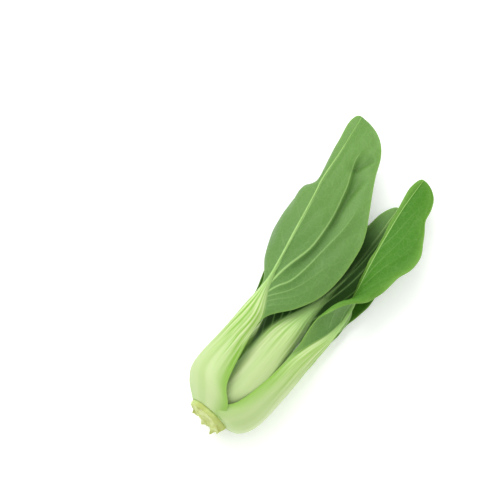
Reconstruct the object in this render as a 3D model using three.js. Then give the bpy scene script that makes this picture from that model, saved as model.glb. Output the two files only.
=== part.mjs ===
/**
 * One head of bok choy, lying on its side as cut: a cut stem and ten leaves
 * that clasp one another round it, each a fleshy stalk with its midrib and a
 * thin green blade.
 *
 * Lengths are millimetres and angles degrees. The head's axis runs along +Y
 * from the cut end to the leaf tips, and +Z is up from the table. The leaf
 * tables are written round the stem axis, with y = 0 at the cut.
 */
import * as THREE from 'three';

// Height of the stem axis above the table.
const AXIS_HEIGHT = 24;
// Moves the head so that the origin lies under the middle of its bounding box.
const SHIFT_X = 8.14;
const SHIFT_Y = -103.17;
// Thickness of a blade, and the slit between a blade and its own midrib.
const SKIN = 0.8;
const SLIT = 0.3;
// Narrowest wing of a blade that is still made.
const LEAST_WING = 0.45;
// Share of the half-width that is left at the very tip of a blade.
const TIP_SHARE = 0.16;
// Past the midrib's end, the most of the half-width that its middle strip takes.
const ROOT_SHARE = 0.35;

// Rows along a leaf and columns across it.
const STALK_ROWS = 15;
const STALK_COLUMNS = 6;
const BLADE_ROWS = 12;
const WING_CELLS = 4;
// Rows near the tip, as shares of the rounded part's length.
const TIP_STEPS = [0.62, 0.34, 0.14, 0.04, 0];

// Below this turn, in radians, a half is straight.
const FOLD_STEP = 1e-4;

const STEM_SIDES = 28;
const STEM_TOP = 23.6;
// Profile of the stem: distance from the cut and radius.
const STEM_PROFILE = [
  [1.7, 11.0],
  [2.5, 9.9],
  [3.6, 9.6],
  [9.0, 8.0],
  [13.5, 5.9],
  [17.5, 4.6],
  [20.0, 2.7],
  [23.0, 1.3],
];
// The cut is a little slanted, and its lowest side ends in a torn tip.
const CUT_RADII = [11.4, 6.5];
const CUT_LEAN = 1.4;
const CUT_LOW_SIDE = -50;
const TORN_TIP = 2.2;
const TORN_WIDTH = 0.3;

const COLOURS = { stalk: 0xc8e196, blade: 0x5f9a45, stem: 0xbcbf62 };

/**
 * The leaves from the outermost inward, each turned 137.5 degrees from the
 * one before. `path` is the midline of the inner face; every other list gives
 * values at the same points of the path. `faces` is the direction that the
 * inner face looks to, round the head's axis from +X towards up. `left` and
 * `right` are the half-widths seen on the inner face with the tip up. `fold`
 * and `curl` are how far each half has turned towards the inner face at the
 * midrib and at the margin. `rib` is the half-width of the stalk or midrib,
 * `thick` its thickness, and `tip` the length of the rounded end.
 */
const LEAVES = {
  front: {
    path: [
      [-7.5, 3.4, 32], [-14, 11, 36], [-18.4, 21, 38], [-18.4, 44, 40], [-19.2, 66, 40],
      [-22.5, 84, 38.5], [-26.5, 100, 37.5], [-31, 118, 36], [-36.2, 140, 34],
      [-39.2, 152, 32.6], [-41.6, 162, 31.2], [-46, 186, 28], [-50.3, 210.5, 25],
    ],
    faces: [312, 318, 320, 308, 290, 279, 270, 268, 268, 268, 268, 268, 268],
    left: [14, 20, 19.5, 12.5, 9, 23, 33, 39, 41.3, 39.8, 36.5, 26.8, 22.5],
    right: [11, 15, 16.5, 11, 7.5, 6.5, 14, 22, 20.5, 16.5, 11, 6, 6.5],
    foldLeft: 0,
    foldRight: [0, 0, 0, 0, 0, 0, 10, 10, 20, 50, 80, 40, 10],
    curlLeft: [70, 65, 55, 45, 35, 20, 15, 10, 10, 6, 0, -5, -5],
    curlRight: [55, 45, 42, 40, 35, 40, 80, 100, 100, 105, 112, 70, 30],
    rib: [13, 20, 19.5, 12.5, 8.4, 4, 2.5, 1.9, 1.5, 1.3, 1.2, 1, 0.8],
    thick: [3, 4.8, 5.5, 5.2, 4.8, 4, 3, 2.4, 2, 1.8, 1.7, 1.4, 1.1],
    tip: 22,
    bladeStart: 3.2,
    ribEnd: 11.2,
  },
  right: {
    path: [
      [10.3, 2.8, 25], [16.6, 6, 25.5], [21.4, 17, 25.5], [22.8, 40, 26], [23, 65, 26],
      [24.4, 88, 25], [23.4, 104, 24], [19.2, 120, 23], [14.8, 138, 22], [10.5, 158, 20.5],
      [6.5, 182, 18.5], [4.2, 206, 15],
    ],
    faces: [188, 190, 194, 200, 208, 214, 208, 165, 118, 108, 100, 95],
    left: [5, 9.5, 13, 9, 6, 5.5, 5, 4, 3.5, 3.5, 4, 5],
    right: [11, 17, 17.5, 13.4, 11.3, 15, 16, 16, 22, 29, 19, 16],
    foldLeft: 0,
    foldRight: 0,
    curlLeft: [45, 42, 40, 35, 30, 25, 15, 0, -15, -20, -10, -10],
    curlRight: [52, 46, 38, 36, 33, 10, -70, -80, 0, 10, 0, -15],
    rib: [10, 16, 17, 13.5, 8.8, 4, 2.4, 1.9, 1.5, 1.2, 1, 0.8],
    thick: [3, 4.6, 5, 5, 4.6, 4, 3, 2.4, 2, 1.7, 1.4, 1.1],
    tip: 20,
    bladeStart: 3.6,
    ribEnd: 10.2,
  },
  lower_left: {
    path: [
      [-6.5, 7.6, 15.5], [-11.5, 12, 9.5], [-13.3, 22, 6.2], [-17.3, 44, 4.9], [-22.5, 66, 4.6],
      [-25, 84, 4.1], [-26.5, 104, 3.2], [-28, 126, 2.4], [-31, 150, 2.1], [-36, 176, 2.8],
    ],
    faces: [52, 50, 52, 62, 72, 80, 86, 90, 92, 92],
    left: [10, 14, 16.5, 11.5, 7, 7, 12, 15.5, 14.5, 10],
    right: [9, 15, 18, 13, 7, 7, 14, 19, 18, 12],
    foldLeft: 0,
    foldRight: 0,
    curlLeft: [55, 55, 55, 45, 35, 20, 0, -10, -8, -5],
    curlRight: [55, 55, 50, 45, 35, 20, 5, -8, -8, -5],
    rib: [9, 13.5, 16, 11, 6.5, 3.5, 2.4, 1.9, 1.5, 1],
    thick: [3, 4.2, 4.8, 4.6, 4.2, 3.4, 2.8, 2.3, 1.9, 1.4],
    tip: 20,
    bladeStart: 4.2,
    ribEnd: 8.3,
  },
  middle: {
    path: [
      [0.5, 10, 32.5], [3.5, 17, 35.2], [5.7, 27, 35.6], [6, 43, 35.3], [5, 60, 33.5],
      [5, 74, 30.5], [5.6, 86, 27.5], [7, 104, 23.5], [7.5, 126, 18.5], [6.5, 150, 15],
      [3.4, 182, 12],
    ],
    faces: [272, 268, 266, 268, 268, 268, 268, 268, 270, 270, 270],
    left: [8, 13, 15.5, 13.4, 10.6, 9.6, 10.6, 12, 13, 11, 7],
    right: [7.5, 10.5, 12.2, 13, 16, 20, 24, 29, 26, 12, 7],
    foldLeft: 0,
    foldRight: 0,
    curlLeft: [50, 58, 60, 58, 52, 60, 55, 45, 32, 15, 10],
    curlRight: [50, 50, 42, 36, 38, 40, 30, 15, 12, 12, 12],
    rib: [8, 12.5, 14, 13, 10.3, 7.6, 4.2, 2.5, 1.9, 1.5, 0.9],
    thick: [2.8, 4, 4.8, 4.8, 4.4, 4.2, 3.6, 2.8, 2.2, 1.8, 1.2],
    tip: 22,
    bladeStart: 3.2,
    ribEnd: 9.2,
  },
  lower_right: {
    path: [
      [6, 12, 18.5], [11.5, 19, 13.2], [14, 30, 9.2], [18, 50, 6.6], [21, 70, 5.6],
      [20.5, 86, 5.2], [18.5, 102, 5], [17.5, 122, 4.6], [16.5, 142, 4.6], [14, 164, 5.4],
    ],
    faces: [140, 142, 142, 135, 125, 112, 100, 95, 92, 90],
    left: [7, 11, 12.5, 10, 6.5, 7, 10, 11, 10, 7],
    right: [7, 11, 12.5, 9.5, 5.5, 5.5, 7.8, 11, 10.5, 8],
    foldLeft: 0,
    foldRight: 0,
    curlLeft: [50, 50, 48, 45, 35, 25, 10, 5, 5, 5],
    curlRight: [50, 50, 48, 45, 35, 25, 15, 15, 20, 20],
    rib: [7, 10.5, 12, 9.5, 6, 3.5, 2.4, 1.9, 1.5, 1],
    thick: [2.6, 4, 4.6, 4.4, 4, 3.3, 2.7, 2.2, 1.8, 1.3],
    tip: 20,
    bladeStart: 4.2,
    ribEnd: 8.3,
  },
  back_left: {
    path: [
      [-6.5, 14, 24.5], [-10, 21, 24.5], [-11.8, 32, 24], [-11, 50, 22], [-10, 68, 19.5],
      [-11, 84, 16.8], [-16, 102, 14], [-22, 122, 10.8], [-28, 146, 9],
    ],
    faces: [358, 355, 350, 336, 312, 292, 280, 275, 272],
    left: [5.4, 6, 6.8, 7, 6, 7, 13, 15, 9],
    right: [6, 9.5, 10.5, 8, 6, 7, 13, 13.5, 8],
    foldLeft: 0,
    foldRight: 0,
    curlLeft: [50, 55, 52, 45, 40, 30, 15, 10, 10],
    curlRight: [50, 50, 48, 45, 40, 30, 15, 10, 10],
    rib: [6, 9, 10, 7.6, 5.4, 3.2, 2.2, 1.7, 1],
    thick: [2.4, 3.6, 4.2, 4, 3.6, 3, 2.4, 1.9, 1.3],
    tip: 20,
    bladeStart: 4.2,
    ribEnd: 7.4,
  },
  upper_right: {
    path: [
      [4.5, 16, 28], [7, 23, 29.8], [7.5, 34, 29.2], [5, 52, 26.5], [1.5, 68, 23.5],
      [1.5, 84, 21], [4, 102, 17.8], [6.5, 122, 13.8], [8, 146, 11],
    ],
    faces: [222, 222, 225, 235, 255, 265, 270, 272, 272],
    left: [5, 8, 8.5, 7, 5.5, 6.5, 11, 13, 8],
    right: [5, 8, 8.5, 7, 5.5, 6.5, 12, 13, 8],
    foldLeft: 0,
    foldRight: 0,
    curlLeft: [50, 50, 48, 45, 40, 30, 15, 10, 10],
    curlRight: [50, 50, 48, 45, 40, 30, 15, 10, 10],
    rib: [5, 7.6, 8.4, 6.6, 5, 3.1, 2.2, 1.7, 1],
    thick: [2.3, 3.4, 4, 3.8, 3.4, 2.8, 2.3, 1.8, 1.2],
    tip: 20,
    bladeStart: 4.2,
    ribEnd: 7.4,
  },
  underneath: {
    path: [
      [-0.6, 18, 18.5], [-1, 26, 16], [-1, 38, 14.5], [0.5, 55, 12.5], [2, 72, 11],
      [2, 88, 10.2], [1, 106, 9.4], [-1, 126, 7.6], [-3, 148, 7],
    ],
    faces: [82, 82, 84, 86, 88, 90, 92, 92, 92],
    left: [4.5, 7, 8, 6.4, 5, 6.5, 11, 12, 8],
    right: [4.5, 7, 8, 6.4, 5, 6.5, 10, 10, 7],
    foldLeft: 0,
    foldRight: 0,
    curlLeft: [50, 50, 48, 45, 40, 30, 10, 0, 0],
    curlRight: [50, 50, 48, 45, 40, 30, 10, 0, 0],
    rib: [4.5, 6.7, 7.6, 6, 4.6, 3, 2.1, 1.6, 1],
    thick: [2.2, 3.2, 3.8, 3.6, 3.2, 2.7, 2.2, 1.7, 1.2],
    tip: 18,
    bladeStart: 4.2,
    ribEnd: 7.4,
  },
  heart_large: {
    path: [
      [-1.9, 20.5, 26.7], [-2.6, 30, 27.2], [-2.6, 42, 26.2], [-2.2, 52, 23.2], [-2, 62, 19.6],
      [-2, 73, 18],
    ],
    faces: [305, 303, 300, 292, 282, 278],
    left: [3.5, 4.6, 4.6, 4.6, 5, 4],
    right: [3.5, 4.6, 4.6, 4.6, 5, 4],
    foldLeft: 0,
    foldRight: 0,
    curlLeft: [50, 50, 45, 35, 30, 25],
    curlRight: [50, 50, 45, 35, 30, 25],
    rib: [3.5, 4.2, 3.6, 2.6, 1.7, 1],
    thick: [1.8, 2.4, 2.6, 2.2, 1.8, 1.2],
    tip: 12,
    bladeStart: 2.2,
    ribEnd: 4.5,
  },
  heart_small: {
    path: [
      [2.2, 22.5, 23.6], [3, 30, 22.4], [2.9, 38, 21], [2, 46, 19.2], [1, 55, 17.4],
    ],
    faces: [168, 165, 160, 150, 140],
    left: [2.6, 3.4, 3.6, 3.6, 2.6],
    right: [2.6, 3.2, 3.2, 3.2, 2.4],
    foldLeft: 0,
    foldRight: 0,
    curlLeft: [50, 50, 45, 35, 25],
    curlRight: [50, 50, 45, 35, 25],
    rib: [2.6, 3, 2.6, 1.7, 1],
    thick: [1.6, 2.2, 2.2, 1.8, 1.2],
    tip: 10,
    bladeStart: 1.8,
    ribEnd: 3.5,
  },
};

/** Smooth curve through evenly spaced values, at parameter t from 0 to n-1. */
function along(values, t) {
  if (typeof values === 'number') return values;
  const last = values.length - 1;
  const i = Math.min(Math.max(Math.floor(t), 0), last - 1);
  const x = t - i;
  const at = (k) => {
    if (k < 0) return 2 * values[0] - values[1];
    if (k > last) return 2 * values[last] - values[last - 1];
    return values[k];
  };
  const [a, b, c, d] = [at(i - 1), at(i), at(i + 1), at(i + 2)];
  const cubic = 3 * b - a - 3 * c + d;
  const square = 2 * a - 5 * b + 4 * c - d;
  return 0.5 * (2 * b + (c - a) * x + square * x * x + cubic * x * x * x);
}

/** Point of the inner face's midline. */
function midline(leaf, t) {
  return [0, 1, 2].map((axis) => along(leaf.path.map((p) => p[axis]), t));
}

/** Table of distances along the midline, used to space rows evenly. */
function measure(leaf) {
  const steps = 600;
  const table = [];
  let length = 0;
  let before = null;
  for (let k = 0; k <= steps; k += 1) {
    const t = (k / steps) * (leaf.path.length - 1);
    const here = midline(leaf, t);
    if (before) length += Math.hypot(...here.map((v, axis) => v - before[axis]));
    table.push([length, t]);
    before = here;
  }
  return table;
}

/** Reads column `to` of the table where column `from` reaches a value. */
function lookUp(table, value, from, to) {
  const k = table.findIndex((row) => row[from] >= value);
  if (k < 0) return table[table.length - 1][to];
  if (k === 0) return table[0][to];
  const [a, b] = [table[k - 1], table[k]];
  return a[to] + ((b[to] - a[to]) * (value - a[from])) / (b[from] - a[from]);
}

/** A leaf with its measured length and its rounded tip. */
class Leaf {
  constructor(data) {
    Object.assign(this, data);
    this.table = measure(this);
    this.length = this.table[this.table.length - 1][0];
    this.last = this.path.length - 1;
  }

  /** Parameter at a distance along the midline. */
  at(distance) {
    return lookUp(this.table, distance, 0, 1);
  }

  /** Distance along the midline at a parameter. */
  distance(t) {
    return lookUp(this.table, t, 1, 0);
  }

  /** Half-width of one side, rounded off towards the tip. */
  halfWidth(t, side) {
    const left = this.length - this.distance(t);
    const full = along(side > 0 ? this.right : this.left, t);
    if (left >= this.tip) return full;
    const share = Math.sqrt(Math.max(1 - (1 - left / this.tip) ** 2, 0));
    return full * Math.max(share, TIP_SHARE);
  }

  /** Half-width of the stalk or midrib on one side. */
  ribWidth(t, side) {
    return Math.min(along(this.rib, t), this.halfWidth(t, side));
  }

  /** Distance from the midrib at which a wing of the blade begins. */
  root(t, side) {
    const beside = this.ribWidth(t, side) + SLIT;
    return t > this.ribEnd ? Math.min(beside, ROOT_SHARE * this.halfWidth(t, side)) : beside;
  }

  /** Inner and outer points at a distance from the midrib on one side. */
  pair(t, distance, side) {
    const facing = THREE.MathUtils.degToRad(along(this.faces, t));
    const normal = [Math.cos(facing), Math.sin(facing)];
    const across = [normal[1] * side, -normal[0] * side];
    const width = this.halfWidth(t, side);
    const [foldKey, curlKey] = side > 0 ? ['foldRight', 'curlRight'] : ['foldLeft', 'curlLeft'];
    const fold = THREE.MathUtils.degToRad(along(this[foldKey], t));
    const turn = THREE.MathUtils.degToRad(along(this[curlKey], t)) - fold;
    const angle = fold + (turn * distance) / width;
    let out = distance * Math.cos(fold);
    let rise = distance * Math.sin(fold);
    if (Math.abs(turn) > FOLD_STEP) {
      out = (width / turn) * (Math.sin(angle) - Math.sin(fold));
      rise = (width / turn) * (Math.cos(fold) - Math.cos(angle));
    }
    const [x, y, z] = midline(this, t);
    const inner = [
      x + across[0] * out + normal[0] * rise,
      z + across[1] * out + normal[1] * rise,
    ];
    const back = [
      across[0] * Math.sin(angle) - normal[0] * Math.cos(angle),
      across[1] * Math.sin(angle) - normal[1] * Math.cos(angle),
    ];
    const thickness = this.thickness(t, distance);
    return {
      inner: place(inner[0], y, inner[1]),
      outer: place(inner[0] + back[0] * thickness, y, inner[1] + back[1] * thickness),
    };
  }

  /** Thickness, greatest at the midrib and that of the blade beyond it. */
  thickness(t, distance) {
    const share = distance / along(this.rib, t);
    if (share >= 1) return SKIN;
    const extra = Math.max(along(this.thick, t) - SKIN, 0);
    return SKIN + extra * (1 - share * share) ** 0.75;
  }
}

/** A point in the part's frame, kept on or above the table. */
function place(x, y, z) {
  return [x + SHIFT_X, y + SHIFT_Y, Math.max(z, 0)];
}

/** Collects triangles and turns them into a mesh. */
class Shell {
  constructor() {
    this.positions = [];
  }

  triangle(a, b, c) {
    this.positions.push(...a, ...b, ...c);
  }

  quad(a, b, c, d) {
    this.triangle(a, b, c);
    this.triangle(a, c, d);
  }

  mesh(name, colour) {
    const geometry = new THREE.BufferGeometry();
    const data = new Float32Array(this.positions);
    geometry.setAttribute('position', new THREE.BufferAttribute(data, 3));
    geometry.computeVertexNormals();
    const material = new THREE.MeshStandardMaterial({ color: colour, roughness: 0.5 });
    const made = new THREE.Mesh(geometry, material);
    made.name = name;
    return made;
  }
}

/** Fleshy stalk that narrows to the midrib, closed at both ends. */
function makeStalk(leaf, name) {
  const shell = new Shell();
  const end = leaf.distance(leaf.ribEnd);
  const rings = [];
  for (let k = 0; k <= STALK_ROWS; k += 1) {
    const share = k / STALK_ROWS;
    const t = leaf.at(end * (0.6 * share + 0.4 * share * share));
    const pairs = [];
    for (let j = -STALK_COLUMNS; j <= STALK_COLUMNS; j += 2) {
      const side = j < 0 ? -1 : 1;
      pairs.push(leaf.pair(t, (leaf.ribWidth(t, side) * Math.abs(j)) / STALK_COLUMNS, side));
    }
    rings.push([...pairs.map((p) => p.inner), ...pairs.map((p) => p.outer).reverse()]);
  }
  const count = rings[0].length;
  for (let k = 0; k < rings.length - 1; k += 1) {
    for (let j = 0; j < count; j += 1) {
      const next = (j + 1) % count;
      shell.quad(rings[k][j], rings[k][next], rings[k + 1][next], rings[k + 1][j]);
    }
  }
  const [first, last] = [rings[0], rings[rings.length - 1]];
  for (let j = 0; j < count / 2 - 1; j += 1) {
    shell.quad(first[j], first[count - 1 - j], first[count - 2 - j], first[j + 1]);
    shell.quad(last[j], last[j + 1], last[count - 2 - j], last[count - 1 - j]);
  }
  return shell.mesh(name, COLOURS.stalk);
}

/** Parameters of the blade's rows, from where its wings start to the tip. */
function bladeRows(leaf) {
  const start = leaf.distance(leaf.bladeStart);
  const slitEnd = leaf.distance(leaf.ribEnd);
  const distances = TIP_STEPS.map((share) => leaf.length - leaf.tip * share);
  for (let k = 0; k < BLADE_ROWS; k += 1) {
    distances.push(start + ((distances[0] - start) * k) / BLADE_ROWS);
  }
  const kept = distances.filter((d) => Math.abs(d - slitEnd) > 2);
  kept.push(slitEnd, slitEnd + SLIT);
  return kept.sort((a, b) => a - b).map((d) => leaf.at(d));
}

/** Thin blade with a slot for the midrib, whole beyond the midrib's end. */
function makeBlade(leaf, name) {
  const shell = new Shell();
  const rows = bladeRows(leaf);
  const columns = [];
  for (let j = WING_CELLS; j >= 0; j -= 1) columns.push([-1, j / WING_CELLS]);
  for (let j = 0; j <= WING_CELLS; j += 1) columns.push([1, j / WING_CELLS]);
  const wing = (t, side) => leaf.halfWidth(t, side) - leaf.root(t, side);
  const grid = rows.map((t) => columns.map(([side, share]) => {
    const distance = leaf.root(t, side) + Math.max(wing(t, side), 0) * share;
    return leaf.pair(t, distance, side);
  }));
  const middle = WING_CELLS;
  const filled = (k, j) => {
    if (k < 0 || j < 0 || k >= rows.length - 1 || j >= columns.length - 1) return false;
    if (rows[k] > leaf.ribEnd) return true;
    if (j === middle) return false;
    const side = j < middle ? -1 : 1;
    return Math.min(wing(rows[k], side), wing(rows[k + 1], side)) >= LEAST_WING;
  };
  for (let k = 0; k < rows.length - 1; k += 1) {
    for (let j = 0; j < columns.length - 1; j += 1) {
      if (!filled(k, j)) continue;
      const [a, b] = [grid[k][j], grid[k + 1][j]];
      const [d, c] = [grid[k][j + 1], grid[k + 1][j + 1]];
      shell.quad(a.inner, d.inner, c.inner, b.inner);
      shell.quad(a.outer, b.outer, c.outer, d.outer);
      if (!filled(k, j - 1)) shell.quad(a.inner, b.inner, b.outer, a.outer);
      if (!filled(k, j + 1)) shell.quad(d.inner, d.outer, c.outer, c.inner);
      if (!filled(k - 1, j)) shell.quad(a.inner, a.outer, d.outer, d.inner);
      if (!filled(k + 1, j)) shell.quad(b.inner, c.inner, c.outer, b.outer);
    }
  }
  return shell.mesh(name, COLOURS.blade);
}

/** Cut stem: a short cone that the leaf bases clasp, with a slanted cut. */
function makeStem() {
  const shell = new Shell();
  const lowSide = THREE.MathUtils.degToRad(CUT_LOW_SIDE);
  const ring = (radius, height) => {
    const points = [];
    for (let k = 0; k < STEM_SIDES; k += 1) {
      const angle = (k / STEM_SIDES) * 2 * Math.PI;
      const r = radius * (1 + 0.012 * Math.sin(3 * angle + 1) + 0.01 * Math.sin(5 * angle));
      const z = AXIS_HEIGHT + r * Math.sin(angle);
      points.push(place(r * Math.cos(angle), height(angle, r), z));
    }
    return points;
  };
  const cut = (angle, r) => {
    const off = Math.atan2(Math.sin(angle - lowSide), Math.cos(angle - lowSide));
    const torn = TORN_TIP * Math.exp(-((off / TORN_WIDTH) ** 2)) * (r / CUT_RADII[0]) ** 3;
    return -0.6 - (CUT_LEAN * Math.cos(off) * r) / CUT_RADII[0] - torn;
  };
  const rings = [
    ring(CUT_RADII[1], (angle, r) => cut(angle, r) + 0.5),
    ring(CUT_RADII[0], cut),
    ...STEM_PROFILE.map(([y, r]) => ring(r, () => y)),
  ];
  for (let k = 0; k < rings.length - 1; k += 1) {
    for (let j = 0; j < STEM_SIDES; j += 1) {
      const next = (j + 1) % STEM_SIDES;
      shell.quad(rings[k][j], rings[k + 1][j], rings[k + 1][next], rings[k][next]);
    }
  }
  const close = (points, y, flip) => {
    const centre = place(0, y, AXIS_HEIGHT);
    for (let j = 0; j < STEM_SIDES; j += 1) {
      const [a, b] = [points[j], points[(j + 1) % STEM_SIDES]];
      shell.triangle(centre, flip ? b : a, flip ? a : b);
    }
  };
  close(rings[0], 0, false);
  close(rings[rings.length - 1], STEM_TOP, true);
  return shell.mesh('stem', COLOURS.stem);
}

const head = new THREE.Group();
head.name = 'bok_choy';
head.add(makeStem());
for (const [name, data] of Object.entries(LEAVES)) {
  const leaf = new Leaf(data);
  head.add(makeStalk(leaf, `${name}_stalk`));
  head.add(makeBlade(leaf, `${name}_blade`));
}

export default head;
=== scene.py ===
"""One head of bok choy, lying on its side as cut.

A short cut stem carries ten leaves that clasp one another round it. Each leaf is one closed
shell: a fleshy stalk that narrows to a midrib, and a thin blade with its veins. Leaf tables
are millimetres round the stem axis, with y = 0 at the cut; the meshes are metres in the frame.
"""

import logging
import math
from dataclasses import dataclass
from enum import Enum

import bmesh
import bpy
import numpy as np
from bmesh.types import BMesh, BMVert
from mathutils import Euler, Matrix, Vector

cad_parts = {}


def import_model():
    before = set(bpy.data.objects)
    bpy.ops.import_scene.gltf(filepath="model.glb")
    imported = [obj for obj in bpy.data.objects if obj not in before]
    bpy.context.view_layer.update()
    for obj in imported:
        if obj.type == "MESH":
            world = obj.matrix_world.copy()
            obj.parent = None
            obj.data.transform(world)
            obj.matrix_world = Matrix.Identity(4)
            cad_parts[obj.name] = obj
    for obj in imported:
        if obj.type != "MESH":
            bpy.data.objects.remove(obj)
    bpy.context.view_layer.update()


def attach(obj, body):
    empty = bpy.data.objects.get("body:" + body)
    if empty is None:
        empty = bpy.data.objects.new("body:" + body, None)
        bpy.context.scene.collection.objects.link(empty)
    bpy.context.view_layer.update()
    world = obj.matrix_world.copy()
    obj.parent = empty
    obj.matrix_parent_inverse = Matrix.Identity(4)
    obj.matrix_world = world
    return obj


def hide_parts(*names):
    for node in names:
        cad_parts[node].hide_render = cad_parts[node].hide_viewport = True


LOG = logging.getLogger("bok_choy")

MILLIMETRE = 0.001
# Moves the leaf tables from the stem axis to the frame, and the stem axis's height there.
HEAD_SHIFT = (8.14, -103.17, 0.0)
AXIS_HEIGHT = 24.0
# Thickness of a blade, and how much of it is lost at the margin.
SKIN = 0.8
THINNED = 0.2
# The narrowest half-width as a share, so that the tip keeps a short edge.
BLUNT_TIP = 0.03
# Width over which a stalk is rounded off to its margin, and the share of a narrow one.
ROUNDING = (7.0, 0.7)
# Distances past the blade's start over which a midrib thins, takes the veins' colour, and
# takes on the shade painted where the other leaves would shadow it.
THINNING = (16.0, 50.0)
COLOURING = (16.0, 46.0)
SHADING = (42.0, 72.0)
# Crease along a vein's outer side: where it is deepest and how far it reaches to both sides,
# and the same for the shadow painted into it.
VALLEY = (3.0, 2.2, 5.5)
HOLLOW = (2.2, 1.3, 3.4)
HOLLOW_SHADE = 0.15
# Strands of a stalk: strength, waves across the half-width, wander, turn by seed, fixed turn.
BROAD_STRANDS = ((0.5, 1.3, 1.0, 1.0, 0.0), (0.4, 2.9, 1.4, 2.3, 0.0))
FINE_STRANDS = ((0.45, 3.5, -1.0, 0.0, 2.2), (0.4, 5.3, 0.6, 3.0, 0.0))
STRAND_RIDGE = 0.17
# Shares of the half-width at the points of an evenly laid vein.
LAID_SHARES = (0.0, 0.2, 0.4, 0.6, 0.8, 0.97)

Curve = tuple[float, ...]
Pair = tuple[float, float]
Triple = tuple[float, float, float]
Socket = bpy.types.NodeSocket
Tree = bpy.types.NodeTree
Node = bpy.types.Node
Material = bpy.types.Material
Object = bpy.types.Object


class Side(Enum):
    """The two halves of a leaf, seen on the inner face with the tip up."""

    LEFT = -1
    RIGHT = 1


class Slot(Enum):
    """Names of material slots for the pieces."""

    STEM = "stem"
    BLADE = "blade"


def linear(colour: str) -> tuple[float, float, float, float]:
    """Turns an sRGB colour of six hex digits, such as "c8e196", to linear RGBA."""
    parts = (int(colour[k : k + 2], 16) / 255 for k in (0, 2, 4))
    red, green, blue = (c / 12.92 if c <= 0.04045 else ((c + 0.055) / 1.055) ** 2.4 for c in parts)
    return red, green, blue, 1.0


def add_node(tree: Tree, kind: str, inputs: dict | None = None, **settings: object) -> Node:
    """Adds a node with its settings and inputs.

    Args:
        tree: Node tree of the material or world.
        kind: Blender's name of the node's type, after ShaderNode.
        inputs: Values, or sockets to link, by the name or number of the input they feed.
        settings: Attributes of the node itself.

    Returns:
        The new node.
    """
    made = tree.nodes.new(f"ShaderNode{kind}")
    for name, value in settings.items():
        setattr(made, name, value)
    for key, value in (inputs or {}).items():
        if isinstance(value, Socket):
            tree.links.new(value, made.inputs[key])
        else:
            made.inputs[key].default_value = value
    return made


def empty_tree(owner: Material | bpy.types.World) -> Tree:
    """Gives a material or world an empty node tree."""
    owner.use_nodes = True
    owner.node_tree.nodes.clear()
    return owner.node_tree


def read_masks(tree: Tree, names: str) -> dict[str, Socket]:
    """Reads the mesh's own attributes, named in one string."""
    return {
        name: add_node(tree, "Attribute", attribute_name=name).outputs["Fac"]
        for name in names.split()
    }


def add_noise(tree: Tree, place: Socket, scale: float, detail: float, rough: float = 0.5) -> Node:
    """Adds a cloudy pattern."""
    inputs = {"Vector": place, "Scale": scale, "Detail": detail, "Roughness": rough}
    return add_node(tree, "TexNoise", inputs)


def ramp(
    tree: Tree, value: Socket, start: float, stop: float, ends: tuple = (0, 1), kind: str = "SMOOTHSTEP"
) -> Socket:
    """Turns a value that goes from start to stop into one that goes from end to end."""
    inputs = {"Value": value, "From Min": start, "From Max": stop}
    inputs.update(zip(("To Min", "To Max"), ends))
    return add_node(tree, "MapRange", inputs, interpolation_type=kind).outputs["Result"]


def scaled(tree: Tree, value: Socket, gain: float, plus: Socket | None = None) -> Socket:
    """Multiplies a value; with another to add, the sum is kept from 0 to 1."""
    if plus is None:
        return add_node(tree, "Math", {0: value, 1: gain}, operation="MULTIPLY").outputs[0]
    inputs = {0: value, 1: gain, 2: plus}
    made = add_node(tree, "Math", inputs, operation="MULTIPLY_ADD", use_clamp=True)
    return made.outputs[0]


def blend(tree: Tree, amount: Socket, below: object, above: object) -> Socket:
    """Lays one colour over another by an amount."""
    inputs = {0: amount, 6: below, 7: above}
    return add_node(tree, "Mix", inputs, data_type="RGBA").outputs[2]


def smooth_curve(values: tuple | float, t: np.ndarray) -> np.ndarray:
    """Smooth curve through evenly spaced values or points.

    Args:
        values: One value or point for each whole number of the parameter, or a single value.
        t: Parameters from 0 to the number of values less one.

    Returns:
        The curve's values or points at t.
    """
    table = np.asarray(values, float)
    if table.ndim == 0:
        return np.full_like(t, float(table))
    padded = np.concatenate(([2 * table[0] - table[1]], table, [2 * table[-1] - table[-2]]))
    i = np.clip(np.floor(t).astype(int), 0, len(table) - 2)
    x = (t - i).reshape(t.shape + (1,) * (table.ndim - 1))
    a, b, c, d = (padded[i + k] for k in range(4))
    square = 2 * a - 5 * b + 4 * c - d
    cubic = 3 * b - a - 3 * c + d
    return 0.5 * (2 * b + (c - a) * x + square * x**2 + cubic * x**3)


def smooth_step(low: float, high: float, values: np.ndarray) -> np.ndarray:
    """Rises smoothly from 0 at low to 1 at high."""
    x = np.clip((values - low) / (high - low), 0, 1)
    return x * x * (3 - 2 * x)


def lopsided(values: np.ndarray, centre: float, before: float, after: float) -> np.ndarray:
    """A rounded hump of 1 at the centre that is wider on one side than on the other."""
    off = values - centre
    return np.exp(-((off / np.where(off < 0, before, after)) ** 2))


def add_object(name: str, data: bpy.types.ID) -> Object:
    """Adds an object with its data to the scene."""
    made = bpy.data.objects.new(name, data)
    bpy.context.scene.collection.objects.link(made)
    return made


def make_piece(bm: BMesh, name: str, masks: dict, sharp: float, tissue: Material) -> Object:
    """Turns a shell into a dressed object that rides, its edges sharp from an angle in degrees."""
    mesh = bpy.data.meshes.new(name)
    bm.to_mesh(mesh)
    bm.free()
    for key, values in masks.items():
        made = mesh.attributes.new(key, "FLOAT", "POINT")
        made.data.foreach_set("value", values.astype(np.float32))
    mesh.shade_smooth()
    mesh.set_sharp_from_angle(angle=math.radians(sharp))
    mesh.materials.append(tissue)
    piece = add_object(name, mesh)
    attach(piece, "root")
    return piece


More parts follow.
